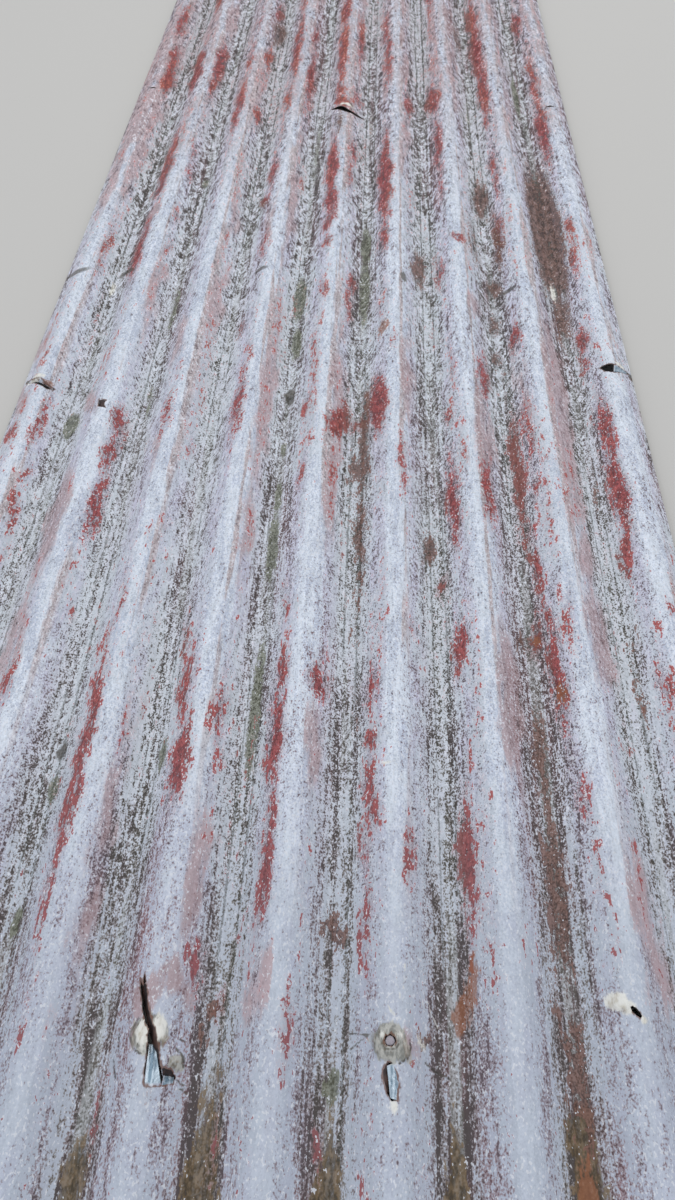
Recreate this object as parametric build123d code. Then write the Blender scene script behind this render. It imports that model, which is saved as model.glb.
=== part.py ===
"""A second-hand corrugated roofing sheet: one sheet of galvanised steel with round corrugations.

The sheet lies with its valleys on the floor. X runs across the corrugations, Y along them and Z up.
The origin is at the middle of the floor print. Lengths are in millimetres and angles in degrees.
"""
from build123d import *
import math
import os

# The rolled sheet
sheet_length = 2134.0
sheet_thickness = 0.7
crest_count = 9
wave_pitch = 76.2
wave_depth = 19.05
flank_angle = 38.0
edge_overhang = 25.4

# The rows of nails that held it down, one row to each purlin
row_count = 4
near_margin = 127.0
far_margin = 96.0

# How far past its row each nail was driven, where it missed it
near_outer_hole_offset = 24.0
near_inner_hole_offset = 2.0
second_left_slit_offset = 1.0
second_hole_offset = -30.0
second_right_slit_offset = 24.0
third_left_slot_offset = 91.0
third_middle_slit_offset = 4.0
third_right_slot_offset = 5.0

# The nail holes that are still round
nail_hole_diameter = 5.5

# The ragged slots of the third row, where a nail was pulled sideways
ragged_slot_width = 12.0
ragged_slot_opening = 4.0

# The slits across a crest, where a claw drew the nail and lifted the far side of the slit as a lip
slit_past_bend = 3.0
lip_past_slit = 1.0
lip_length = 26.0
wide_slit_opening = 7.0
sharp_lip_radius = 5.0
narrow_slit_opening = 3.0
soft_lip_radius = 11.0

# The two tears along the sheet, each drawn across and along from its nail in parts of its own length
long_tear_length = 67.0
long_tear_shape = [
    (-0.157, 0.567), (-0.112, 0.463), (-0.060, 0.343), (-0.007, 0.201), (0.067, 0.060), (0.104, -0.134),
    (0.142, -0.269), (0.231, -0.276), (0.261, -0.373), (0.164, -0.410), (0.149, -0.433), (0.015, -0.433),
    (0.000, -0.179), (-0.045, 0.090), (-0.104, 0.209), (-0.157, 0.373),
]
short_tear_length = 23.5
short_tear_shape = [
    (-0.021, -0.447), (0.106, -0.638), (0.191, -1.043), (0.128, -1.426), (0.000, -1.447), (-0.149, -1.191),
    (-0.234, -0.851), (-0.191, -0.553),
]

# The tongue that the nail pushed down into the long tear, folded a little beyond the tear's near end
tongue_length = 23.0
tongue_root_width = 7.4
tongue_tip_width = 2.0
tongue_across = 5.5
tongue_lean = -1.3
fold_along = 1.0
taper_along = 2.0
fold_angle = 14.0

# The bends and straight flanks that this pitch, depth and flank angle give
flank_slope = math.radians(flank_angle)
half_pitch = wave_pitch / 2
half_thickness = sheet_thickness / 2
bend_cut = half_pitch * math.sin(flank_slope) - wave_depth * math.cos(flank_slope)
bend_radius = bend_cut / (2 * (1 - math.cos(flank_slope)))
bend_reach = bend_radius * math.sin(flank_slope)
valley_centre_height = half_thickness + bend_radius
peak_height = half_thickness + wave_depth + bend_radius * (1 / math.cos(flank_slope) - 1)

# The sheet's outer sizes and the nail rows in it
half_width = (crest_count - 1) * half_pitch + edge_overhang
near_end = -sheet_length / 2
row_spacing = (sheet_length - near_margin - far_margin) / (row_count - 1)
cutter_height = 4 * wave_depth

# Crests that were nailed, counted from 1 at the left edge
middle_crest = (crest_count + 1) // 2
left_nailed = 2
right_nailed = crest_count - 1


def crest_x(crest):
    """The place of a crest across the sheet."""
    return (crest - 1) * wave_pitch - (crest_count - 1) * half_pitch


def row_y(row, offset=0.0):
    """The place along the sheet of a nail this far past its row, rows counted from the near end."""
    return near_end + near_margin + (row - 1) * row_spacing + offset


def crest_arc(x, offset, radius):
    """The bend over a crest, this far above the middle of the metal, from left to right."""
    centre = (x, peak_height - radius / math.cos(flank_slope))
    return CenterArc(centre, radius + offset, 90 + flank_angle, -2 * flank_angle)


def valley_arc(x, offset):
    """The bend under a valley, this far above the middle of the metal, from left to right."""
    return CenterArc((x, valley_centre_height), bend_radius - offset, 270 - flank_angle, 2 * flank_angle)


def down_the_flank(point, x):
    """Where the straight flank that leaves a crest's bend at this point comes to x."""
    return (x, point.Y - abs(x - point.X) * math.tan(flank_slope))


def band(lines):
    """The cut metal between its upper and its lower line, each a list of edges from left to right."""
    top, bottom = lines
    ends = [Line(top[0] @ 0, bottom[0] @ 0), Line(top[-1] @ 1, bottom[-1] @ 1)]
    return make_face(top + bottom + ends)


def rolled_line(offset):
    """One face of the rolled metal, from a crest left of the sheet to a crest right of it."""
    bends = [crest_arc(crest_x(0), offset, bend_radius)]
    for crest in range(1, crest_count + 2):
        bends.append(valley_arc(crest_x(crest) - half_pitch, offset))
        bends.append(crest_arc(crest_x(crest), offset, bend_radius))
    flanks = [Line(bend @ 1, following @ 0) for bend, following in zip(bends, bends[1:])]
    return bends + flanks, bends


def sheet_section():
    """The corrugated section, rolled wider than the sheet and slit to its width."""
    outline = []
    outer_ends = []
    for offset in (half_thickness, -half_thickness):
        edges, bends = rolled_line(offset)
        outline += edges
        outer_ends.append((bends[0] @ 0, bends[-1] @ 1))
    (top_left, top_right), (bottom_left, bottom_right) = outer_ends
    outline += [Line(top_left, bottom_left), Line(top_right, bottom_right)]
    return make_face(outline) & Rectangle(2 * half_width, cutter_height)


def crest_section(x, reach, radius):
    """The section of one crest with its top bent to this radius, out to this reach on both flanks."""
    lines = []
    for offset in (half_thickness, -half_thickness):
        top = crest_arc(x, offset, radius)
        left = Line(down_the_flank(top @ 0, x - reach), top @ 0)
        right = Line(top @ 1, down_the_flank(top @ 1, x + reach))
        lines.append([left, top, right])
    return band(lines)


def across(y):
    """The upright plane across the sheet at y."""
    return Plane.XZ.offset(-y)


def upright_cutter(outline, crest, y):
    """A cutter with this outline, drawn about a point on top of a crest."""
    return Pos(crest_x(crest), y, 0) * extrude(make_face(outline), cutter_height / 2, both=True)


def round_hole(crest, y):
    """A cutter for a round nail hole through the top of a crest."""
    return Pos(crest_x(crest), y, 0) * Cylinder(nail_hole_diameter / 2, cutter_height)


def tear(crest, y, shape, length):
    """A cutter for a tear along the sheet, with its shape drawn in parts of its length."""
    outline = [(across_part * length, along_part * length) for across_part, along_part in shape]
    return upright_cutter([Polyline(outline, close=True)], crest, y)


def folded_tongue(blank, crest, y):
    """The tongue in the long tear: a tapered strip of the rolled blank, folded down across its root.

    Both halves of the strip are mitred to half the fold, so they meet in one and the same section.
    """
    left = tongue_across - tongue_root_width / 2
    right = tongue_across + tongue_root_width / 2
    tip = tongue_across + tongue_lean
    outline = Polyline(
        (left, 0), (right, 0), (right, taper_along), (tip + tongue_tip_width / 2, tongue_length),
        (tip - tongue_tip_width / 2, tongue_length), (left, taper_along), close=True,
    )
    root_y = y + long_tear_length * min(along_part for across_part, along_part in long_tear_shape)
    strip = blank & upright_cutter([outline], crest, root_y)
    on_fold = (crest_x(crest), root_y + fold_along, half_thickness + wave_depth)
    half_fold = math.radians(fold_angle / 2)
    root_mitre = Plane(on_fold, x_dir=(1, 0, 0), z_dir=(0, math.cos(half_fold), -math.sin(half_fold)))
    flap_mitre = Plane(on_fold, x_dir=(1, 0, 0), z_dir=(0, math.cos(half_fold), math.sin(half_fold)))
    root = split(strip, bisect_by=root_mitre, keep=Keep.BOTTOM)
    flap = split(strip, bisect_by=flap_mitre, keep=Keep.TOP)
    return root + flap.rotate(Axis(on_fold, (1, 0, 0)), -fold_angle)


def ragged_slot(crest, y):
    """A cutter for a short slot across a crest, pointed at both ends."""
    left = (-ragged_slot_width / 2, 0)
    right = (ragged_slot_width / 2, 0)
    far_side = ThreePointArc(left, (0, ragged_slot_opening / 2), right)
    near_side = ThreePointArc(right, (0, -ragged_slot_opening / 2), left)
    return upright_cutter([far_side, near_side], crest, y)


def claw_slit(crest, y, opening, lip_radius):
    """The three steps of a claw's slit: what it clears, what it opens and the lip that it lifts.

    The lip is the crest beyond the slit, pinched to a smaller radius at the slit and falling back to
    the rolled radius. Both radii meet the same straight flanks, so the lip leaves the flanks in tangent.
    """
    slit_reach = bend_reach + slit_past_bend
    lip_reach = slit_reach + lip_past_slit
    x = crest_x(crest)
    cleared = Pos(x, y + lip_length / 2, 0) * Box(2 * lip_reach, lip_length, cutter_height)
    left = (-slit_reach, 0)
    right = (slit_reach, 0)
    opened = upright_cutter([Line(left, right), ThreePointArc(right, (0, -opening), left)], crest, y)
    lifted = across(y) * crest_section(x, lip_reach, lip_radius)
    rolled = across(y + lip_length) * crest_section(x, lip_reach, bend_radius)
    return cleared, opened, loft([lifted, rolled], ruled=True)


# Each nail's crest, its row and its offset from the row
round_holes = [
    (left_nailed, 1, near_outer_hole_offset),
    (middle_crest + 1, 1, near_inner_hole_offset),
    (right_nailed, 1, near_outer_hole_offset),
    (left_nailed, 2, second_hole_offset),
    (left_nailed, 4, 0.0),
    (middle_crest - 1, 4, 0.0),
    (middle_crest + 1, 4, 0.0),
    (right_nailed, 4, 0.0),
]
ragged_slots = [(1, 3, third_left_slot_offset), (crest_count, 3, third_right_slot_offset)]
claw_slits = [
    (1, 2, second_left_slit_offset, wide_slit_opening, sharp_lip_radius),
    (crest_count, 2, second_right_slit_offset, wide_slit_opening, sharp_lip_radius),
    (middle_crest, 3, third_middle_slit_offset, narrow_slit_opening, soft_lip_radius),
]
tears = [
    (middle_crest - 1, 1, 0.0, long_tear_shape, long_tear_length),
    (middle_crest + 1, 1, near_inner_hole_offset, short_tear_shape, short_tear_length),
]

blank = extrude(across(-near_end) * sheet_section(), sheet_length)
tongue = folded_tongue(blank, middle_crest - 1, row_y(1))
sheet = blank
for crest, row, offset in round_holes:
    sheet -= round_hole(crest, row_y(row, offset))
for crest, row, offset in ragged_slots:
    sheet -= ragged_slot(crest, row_y(row, offset))
for crest, row, offset, shape, length in tears:
    sheet -= tear(crest, row_y(row, offset), shape, length)
sheet += tongue
for crest, row, offset, opening, lip_radius in claw_slits:
    cleared, opened, lip = claw_slit(crest, row_y(row, offset), opening, lip_radius)
    sheet = sheet - cleared - opened + lip

os.makedirs("parts", exist_ok=True)
export_step(sheet, "parts/corrugated_sheet.step")
print("bend radius", round(bend_radius, 2), "solids", len(sheet.solids()), sheet.bounding_box())
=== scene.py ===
"""A second-hand corrugated roofing sheet: weathered, worn to its red undercoat, torn at its old nail holes.

Lengths are in millimetres, and become metres where a mesh, a light or the camera is made. X runs across
the corrugations, Y along them and Z up. A station is the distance along the sheet from its near end.
"""
import math

import bpy
import numpy as np
from mathutils import Matrix, Vector
from mathutils.geometry import delaunay_2d_cdt


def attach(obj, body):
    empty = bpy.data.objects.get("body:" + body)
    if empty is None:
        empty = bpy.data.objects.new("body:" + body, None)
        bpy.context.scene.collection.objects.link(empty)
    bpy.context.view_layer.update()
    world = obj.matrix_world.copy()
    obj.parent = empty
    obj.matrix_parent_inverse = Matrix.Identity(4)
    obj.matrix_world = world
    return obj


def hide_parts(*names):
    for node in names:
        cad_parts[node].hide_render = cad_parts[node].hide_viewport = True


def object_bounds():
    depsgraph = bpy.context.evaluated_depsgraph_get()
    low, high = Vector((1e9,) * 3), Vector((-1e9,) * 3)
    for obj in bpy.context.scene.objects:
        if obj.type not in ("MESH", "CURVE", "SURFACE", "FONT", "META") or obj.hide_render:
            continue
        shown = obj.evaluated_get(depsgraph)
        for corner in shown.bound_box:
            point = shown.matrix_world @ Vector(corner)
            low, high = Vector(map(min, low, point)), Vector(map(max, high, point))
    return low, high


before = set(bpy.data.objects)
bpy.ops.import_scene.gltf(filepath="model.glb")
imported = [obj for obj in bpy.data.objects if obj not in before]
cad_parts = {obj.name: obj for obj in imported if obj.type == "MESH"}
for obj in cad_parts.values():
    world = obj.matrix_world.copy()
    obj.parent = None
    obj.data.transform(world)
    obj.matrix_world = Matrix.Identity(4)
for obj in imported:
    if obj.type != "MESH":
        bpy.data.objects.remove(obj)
cad_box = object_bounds()

MM = 0.001

# The rolled sheet
CREST_COUNT = 9
PITCH = 76.2
DEPTH = 19.05
THICKNESS = 0.7
FLANK_ANGLE = math.radians(38)
HALF_WIDTH = cad_box[1].x / MM
HALF_LENGTH = cad_box[1].y / MM
FLANK_SLOPE = math.tan(FLANK_ANGLE)
BEND_CUT = PITCH / 2 * math.sin(FLANK_ANGLE) - DEPTH * math.cos(FLANK_ANGLE)
BEND_RADIUS = BEND_CUT / (2 * (1 - math.cos(FLANK_ANGLE)))
BEND_REACH = BEND_RADIUS * math.sin(FLANK_ANGLE)
PEAK_HEIGHT = THICKNESS / 2 + DEPTH + BEND_RADIUS * (1 / math.cos(FLANK_ANGLE) - 1)

# The mesh's grid, and the angle from which an edge is shaded sharp
CELLS_A_PITCH = 22
CELLS_AN_OVERHANG = 7
CELLS_ALONG = 186
SHARP_FROM = math.radians(50)

# Where the mesh is finer, round an opening: half sizes and the fine mesh's step
LONG_TEAR_WINDOW = ((30.0, 52.0), 1.6)
SHORT_TEAR_WINDOW = ((38.0, 48.0), 1.6)
SLIT_WINDOW = ((30.0, 36.0), 2.2)
SLOT_WINDOW = ((16.0, 16.0), 2.2)
HOLE_WINDOW = ((16.0, 18.0), 1.8)

# The fine mesh, in parts of its step: how far apart its rows are, where even and odd rows start and how
# clear of an outline its points stay. Points nearer than the last number, in millimetres, are one.
FINE_ROWS = 0.9
FINE_STARTS = (0.7, 1.2)
FINE_GAP = 0.55
WELD_WITHIN = 1e-4

# The nail rows, as stations
FIRST_ROW = 127.0
ROW_SPACING = 637.0
NAIL_HOLE_RADIUS = 2.75
STUB_HOLE_RADIUS = 3.45


def crest_x(crest):
    """The place of a crest across the sheet, counted from 1 at the left edge."""
    return (crest - (CREST_COUNT + 1) / 2) * PITCH


def row_station(row, offset=0.0):
    """The station of a nail this far past its row."""
    return FIRST_ROW + (row - 1) * ROW_SPACING + offset


def smooth(value, low, high):
    """Zero at low, one at high and an easy slope between."""
    t = np.clip((value - low) / (high - low), 0, 1)
    return t * t * (3 - 2 * t)


# Where a claw opened a slit across a crest: crest, station, the lip's radius, and the slit's near and far
# edge from left to right, as points across from the crest and along from the station
CLAW_SLITS = [
    (1, row_station(2, 1.0), 7.0,
     [(-22.0, 15.5), (-14.0, 8.0), (-4.0, 2.0), (2.0, -1.0), (8.0, -5.0), (14.0, -3.5)],
     [(-22.5, 18.0), (-14.0, 14.0), (-4.0, 8.5), (2.0, 5.5), (8.0, 1.5), (15.0, -1.0)]),
    (9, row_station(2, 24.0), 12.0,
     [(-9.5, 5.5), (-5.5, -0.5), (3.4, -2.5), (10.0, -0.5), (16.0, 3.0), (21.0, 6.5)],
     [(-9.8, 6.8), (-1.5, 7.2), (7.0, 7.4), (16.0, 8.3), (21.4, 8.6)]),
    (5, row_station(3, 4.0), 11.0,
     [(-19.5, 23.0), (-12.0, 12.0), (-4.0, 2.0), (5.0, -4.0), (16.0, -3.0), (28.0, 3.5)],
     [(-20.0, 26.0), (-12.0, 19.0), (-4.0, 8.0), (5.0, 0.0), (16.0, 4.0), (28.5, 6.5)]),
]
LIP_LENGTH = 26.0
LIP_RISE_WITHIN = 2.5

# How the crest is pressed down before a slit: the depth, and its reach across and along
SLIT_HOLLOW = (1.3, 12.0, 22.0)

# The slight waviness of the whole sheet: its height, and its lengths along and across in two waves
WAVINESS = 0.25
WAVES = ((83.0, 61.0), (211.0, -97.0))

# Short slots torn across a crest by a nail: crest and station
RAGGED_SLOTS = [(1, row_station(3, 91.0)), (9, row_station(3, 5.0))]
RAGGED_SLOT_SIZE = (12.0, 4.0)

# How far the strokes of the old coat slant across the sheet for each millimetre along it
STROKE_LEAN = 0.5

# Round nail holes: crest and station, and the one that still holds the end of its nail
STUB_HOLE = (6, row_station(1, 2.0))
ROUND_HOLES = [
    (2, row_station(1, 24.0)), STUB_HOLE, (8, row_station(1, 24.0)),
    (2, row_station(2, -30.0)),
    (2, row_station(4)), (4, row_station(4)), (6, row_station(4)), (8, row_station(4)),
]

# The two tears along the sheet, as points across and along from the nail's place
LONG_TEAR_AT = (crest_x(4), row_station(1))
LONG_TEAR = [
    (-9.7, 38.0), (-7.2, 32.0), (-5.6, 27.3), (-3.4, 17.8), (-0.6, 10.8), (2.5, 5.5), (4.6, 2.9),
    (6.3, -2.8), (7.9, -9.7), (10.1, -17.3), (15.8, -17.6), (18.7, -21.9), (17.7, -25.5), (11.6, -27.5),
    (5.9, -29.0), (2.0, -28.0), (0.5, -19.0), (0.4, -10.3), (0.7, -4.1), (-0.3, -0.6), (0.3, 3.1),
    (-2.2, 5.7), (-5.9, 12.3), (-8.7, 21.8), (-11.0, 28.7), (-11.6, 34.5), (-9.0, 29.5),
]
SHORT_TEAR_AT = (crest_x(6), row_station(1, 2.0))
SHORT_TEAR = [
    (-2.8, -12.0), (0.8, -12.6), (3.0, -17.5), (4.2, -24.0), (3.0, -32.6), (-0.2, -33.4), (-3.4, -28.0),
    (-5.0, -22.0), (-5.4, -16.4),
]

# Nail holes drawn out of round: each one's crest and station, and points about that place
DRAWN_HOLES = {
    (8, row_station(1, 24.0)): [
        (-3.2, 2.4), (-1.6, 3.2), (0.6, 1.8), (2.2, -0.2), (3.4, -2.8), (2.4, -3.8), (0.2, -2.6),
        (-1.8, -0.8),
    ],
    (2, row_station(2, -30.0)): [
        (-7.0, 7.6), (-2.5, 6.4), (2.4, 4.8), (0.8, 1.0), (1.0, -3.0), (3.6, -7.0), (-0.6, -6.2),
        (-5.0, -4.2),
    ],
}

# Metal bent down into a tear or a slit: the opening's place, the ends of its hinge, the corners of its
# free edge, its drop and its look, from -1 for dark rust with painted shadow through 0 for coated to 1 for
# bare
TONGUES = [
    (LONG_TEAR_AT, (2.0, -28.0), (11.4, -27.6), (0.2, -4.5), (4.6, -5.5), 5.3, 1.0),
    (LONG_TEAR_AT, (12.2, -27.3), (17.9, -25.0), (11.4, -20.8), (17.2, -20.2), 4.0, 1.0),
    (LONG_TEAR_AT, (-7.2, 32.0), (10.1, -17.3), (-11.5, 29.5), (8.2, -17.0), 4.5, -1.0),
    (LONG_TEAR_AT, (10.1, -17.3), (16.4, -18.4), (10.6, -21.5), (16.8, -21.8), 4.6, -1.0),
    (SHORT_TEAR_AT, (0.8, -12.6), (3.0, -32.6), (-3.0, -14.0), (-0.9, -31.6), 1.0, 1.0),
    (SHORT_TEAR_AT, (-2.8, -12.0), (-3.4, -28.0), (-2.2, -13.0), (-1.8, -29.0), 2.6, -1.0),
    ((crest_x(1), row_station(2, 1.0)), (-18.0, 16.0), (13.0, -0.4), (-17.5, 13.2), (13.2, -2.2), 2.4, 0.0),
    ((crest_x(9), row_station(2, 24.0)), (4.0, 7.3), (19.0, 8.5), (3.0, -0.4), (17.5, 4.6), 1.8, 1.0),
    ((crest_x(2), row_station(2, -30.0)), (-7.0, 7.6), (2.4, 4.8), (-4.6, -4.2), (0.8, -5.4), 3.6, -0.6),
]
# How a tongue is bent: its rows of points, how late it bends down and how much its edge ripples
TONGUE_ROWS = 6
TONGUE_CURL = 1.3
TONGUE_RIPPLE = 0.12

# The cut nail that is still in the near row's middle hole, and the burr raised round it
NAIL_STUB_AT = (75.0, 128.6)
BURR_RADIUS = 5.2
BURR_WIDTH = 1.6
BURR_HEIGHT = 0.9

# Raised places: centre across, station, half sizes, height and squareness of the outline
DOMES = [
    (-75.8, 128.0, 14.0, 13.0, 2.6, 1.35),
    (-59.5, 113.5, 7.0, 6.0, 1.8, 1.8),
    (74.0, 128.0, 12.0, 12.5, 2.0, 2.0),
    (80.5, 123.5, 8.0, 8.5, 1.7, 2.2),
    (220.5, 155.5, 6.5, 5.5, 2.2, 2.0),
    (4.0, 1424.0, 15.0, 20.0, 1.0, 2.0),
]

# Creases pressed into the sheet: two ends across and along, half width and depth
CREASES = [
    ((-330.0, 986.0), (-298.0, 976.0), 4.0, 1.6),
    ((-264.0, 1004.0), (-238.0, 984.0), 4.0, 1.2),
    ((48.0, 135.5), (63.0, 134.0), 1.6, 0.8),
    ((63.0, 134.0), (50.5, 125.5), 1.6, 0.8),
    ((98.0, 119.0), (112.0, 113.0), 1.6, 0.9),
    ((203.0, 944.0), (217.0, 950.0), 2.0, 0.9),
]

# Heights of the metal between which dents and waves fade in, from none in the valleys to full on the
# crests, and the part of a raised place that keeps its full height
PRESSED_FROM = (3.0, 12.0)
DOME_TOP = 0.55

# Dents: centre across, station, half sizes and depth
DENTS = [
    (-232.0, 690.0, 22.0, 60.0, 0.9), (-150.0, 560.0, 18.0, 90.0, 0.7), (72.0, 560.0, 16.0, 70.0, 0.8),
    (152.0, 880.0, 18.0, 60.0, 0.8), (0.0, 980.0, 16.0, 80.0, 0.6), (228.0, 1180.0, 18.0, 70.0, 0.9),
    (-76.0, 1290.0, 16.0, 60.0, 0.7), (-300.0, 1180.0, 18.0, 50.0, 1.0), (150.0, 300.0, 16.0, 60.0, 0.6),
    (300.0, 420.0, 16.0, 60.0, 0.9), (-152.0, 1720.0, 18.0, 60.0, 0.8), (76.0, 1900.0, 18.0, 60.0, 0.8),
]


def rolled_height(x, radius):
    """The middle of the metal over the floor, with the crest's top bent to this radius."""
    from_crest = np.abs(x - PITCH * np.round(x / PITCH))
    from_valley = PITCH / 2 - from_crest
    reach = radius * math.sin(FLANK_ANGLE)
    arc = np.sqrt(np.maximum(radius ** 2 - from_crest ** 2, 0))
    crest = PEAK_HEIGHT - radius / math.cos(FLANK_ANGLE) + arc
    flank = PEAK_HEIGHT - from_crest * FLANK_SLOPE
    valley_arc = np.sqrt(np.maximum(BEND_RADIUS ** 2 - from_valley ** 2, 0))
    valley = THICKNESS / 2 + BEND_RADIUS - valley_arc
    height = np.where(from_crest < reach, crest, flank)
    return np.where(from_valley < BEND_REACH, valley, height)


def lip_radius(x, station):
    """The radius of the crest's top, smaller where a claw pinched it up beyond a slit."""
    radius = np.full_like(x, BEND_RADIUS)
    for crest, slit, pinched, _, far_edge in CLAW_SLITS:
        near = np.abs(x - crest_x(crest)) < PITCH / 2
        past = station - slit - np.interp(x - crest_x(crest), *zip(*far_edge))
        rising = smooth(past, -LIP_RISE_WITHIN, 0.0)
        falling = 1 - smooth(past, 0.0, LIP_LENGTH)
        bent = BEND_RADIUS + (pinched - BEND_RADIUS) * rising * falling
        radius = np.where(near, bent, radius)
    return radius


def dome_height(x, station):
    """How far raised places lift the sheet."""
    lift = np.zeros_like(x)
    for x0, s0, across, along, height, squareness in DOMES:
        r = np.abs((x - x0) / across) ** squareness + np.abs((station - s0) / along) ** squareness
        r = r ** (1 / squareness)
        lift = np.maximum(lift, height * (1 - smooth(r, DOME_TOP, 1.0)))
    from_nail = np.hypot(x - NAIL_STUB_AT[0], station - NAIL_STUB_AT[1])
    return lift + BURR_HEIGHT * np.exp(-((from_nail - BURR_RADIUS) / BURR_WIDTH) ** 2)


def line_distance(x, station, start, end):
    """The distance to a straight line between two points."""
    (ax, ay), (bx, by) = start, end
    t = ((x - ax) * (bx - ax) + (station - ay) * (by - ay)) / ((bx - ax) ** 2 + (by - ay) ** 2)
    t = np.clip(t, 0, 1)
    return np.hypot(x - ax - t * (bx - ax), station - ay - t * (by - ay))


def pressed_depth(x, station):
    """How far dents and creases press the sheet down."""
    depth = np.zeros_like(x)
    for x0, s0, across, along, deep in DENTS:
        depth += deep * np.exp(-((x - x0) / across) ** 2 - ((station - s0) / along) ** 2)
    for start, end, half_width, deep in CREASES:
        depth += deep * (1 - smooth(line_distance(x, station, start, end), 0, half_width))
    return depth


def surface(x, station):
    """The middle of the metal for points across and along the sheet, as an array of X, Y and Z."""
    height = rolled_height(x, lip_radius(x, station))
    on_crest = smooth(height, *PRESSED_FROM)
    waves = [np.sin(station / along + x / across) for along, across in WAVES]
    height += dome_height(x, station)
    height -= pressed_depth(x, station) * on_crest
    height += WAVINESS * on_crest * waves[0] * waves[1]
    deep, across, along = SLIT_HOLLOW
    for crest, slit, _, near_edge, _ in CLAW_SLITS:
        before = slit + np.interp(x - crest_x(crest), *zip(*near_edge)) - station
        hollow = np.exp(-((x - crest_x(crest)) / across) ** 2) * (1 - smooth(np.abs(before), 0, along))
        height -= deep * hollow * (before > -1)
    return np.stack([x, station - HALF_LENGTH, height], -1)


def ragged_loop(points, step, roughness, seed):
    """A closed outline through these points, in steps of about this length, with torn edges."""
    random = np.random.default_rng(seed)
    points = np.array(points, float)
    loop = []
    for start, end in zip(points, np.roll(points, -1, 0)):
        length = float(np.hypot(*(end - start)))
        count = max(1, round(length / step))
        across = np.array([start[1] - end[1], end[0] - start[0]]) / max(length, 1e-6)
        for i in range(count):
            spread = 0.0 if i == 0 else roughness * random.uniform(-1, 1)
            loop.append(start + (end - start) * i / count + across * spread)
    return np.array(loop)


def circle(x, station, radius, count, roughness, seed):
    """A nail hole's outline, a little out of round."""
    random = np.random.default_rng(seed)
    turn = np.arange(count) * 2 * math.pi / count
    r = radius + random.uniform(-roughness, roughness, count)
    return np.stack([x + r * np.cos(turn), station + r * np.sin(turn)], -1)


def slot_outline(x, station, seed):
    """A ragged slot's outline, pointed at both ends."""
    width, depth = RAGGED_SLOT_SIZE
    points = []
    for turn in np.arange(12) * math.pi / 6:
        rise = math.sin(turn) * abs(math.sin(turn))
        points.append((x + width / 2 * math.cos(turn), station + depth / 2 * rise))
    return ragged_loop(points, step=1.5, roughness=0.25, seed=seed)


def moved(points, place):
    """An outline drawn about a place, moved there."""
    return [(x + place[0], y + place[1]) for x, y in points]


def cut_windows():
    """The places that need a fine mesh: centre, half sizes, fine step and the outlines cut there."""
    long_loop = ragged_loop(moved(LONG_TEAR, LONG_TEAR_AT), step=1.4, roughness=0.3, seed=11)
    short_loop = ragged_loop(moved(SHORT_TEAR, SHORT_TEAR_AT), step=1.4, roughness=0.25, seed=12)
    nail_hole = circle(*NAIL_STUB_AT, STUB_HOLE_RADIUS, count=22, roughness=0.35, seed=13)
    windows = [
        (LONG_TEAR_AT, *LONG_TEAR_WINDOW, [long_loop]),
        (SHORT_TEAR_AT, *SHORT_TEAR_WINDOW, [short_loop, nail_hole]),
    ]
    for i, (crest, slit, _, near_edge, far_edge) in enumerate(CLAW_SLITS):
        place = (crest_x(crest), slit)
        outline = moved(near_edge + far_edge[::-1], place)
        outline = ragged_loop(outline, step=1.6, roughness=0.3, seed=20 + i)
        windows.append((place, *SLIT_WINDOW, [outline]))
    for i, (crest, slot) in enumerate(RAGGED_SLOTS):
        place = (crest_x(crest), slot)
        windows.append((place, *SLOT_WINDOW, [slot_outline(*place, 30 + i)]))
    for i, (crest, hole) in enumerate(ROUND_HOLES):
        place = (crest_x(crest), hole)
        if (crest, hole) == STUB_HOLE:
            continue
        if (crest, hole) in DRAWN_HOLES:
            outline = moved(DRAWN_HOLES[crest, hole], place)
            outline = ragged_loop(outline, step=1.0, roughness=0.2, seed=40 + i)
        else:
            outline = circle(*place, NAIL_HOLE_RADIUS, count=16, roughness=0.3, seed=40 + i)
        windows.append((place, *HOLE_WINDOW, [outline]))
    return windows


def inside(points, loop):
    """Which points lie inside a closed outline."""
    x, y = points[:, 0], points[:, 1]
    found = np.zeros(len(points), bool)
    for (ax, ay), (bx, by) in zip(loop, np.roll(loop, -1, 0)):
        crosses = (ay > y) != (by > y)
        with np.errstate(divide="ignore", invalid="ignore"):
            at = ax + (y - ay) * (bx - ax) / (by - ay)
        found ^= crosses & (x < at)
    return found


def grid_lines():
    """The grid's places across the sheet and along it."""
    outer = (CREST_COUNT - 1) / 2 * PITCH
    overhang = np.linspace(outer, HALF_WIDTH, CELLS_AN_OVERHANG + 1)[1:]
    middle = np.linspace(-outer, outer, (CREST_COUNT - 1) * CELLS_A_PITCH + 1)
    across = np.concatenate([-overhang[::-1], middle, overhang])
    return across, np.linspace(0, 2 * HALF_LENGTH, CELLS_ALONG + 1)


def inner_points(low, high, step, loops):
    """A window's own points, in staggered rows, outside its outlines and clear of them."""
    points = []
    for k, y in enumerate(np.arange(low[1] + step, high[1] - step / 2, step * FINE_ROWS)):
        row = np.arange(low[0] + step * FINE_STARTS[k % 2], high[0] - step / 2, step)
        points += [(x, y) for x in row]
    points = np.array(points)
    cut_points = np.concatenate(loops)
    gaps = np.hypot(*(points[:, None, :] - cut_points[None, :, :]).transpose(2, 0, 1))
    keep = np.min(gaps, 1) > step * FINE_GAP
    for loop in loops:
        keep &= ~inside(points, loop)
    return points[keep]


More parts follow.
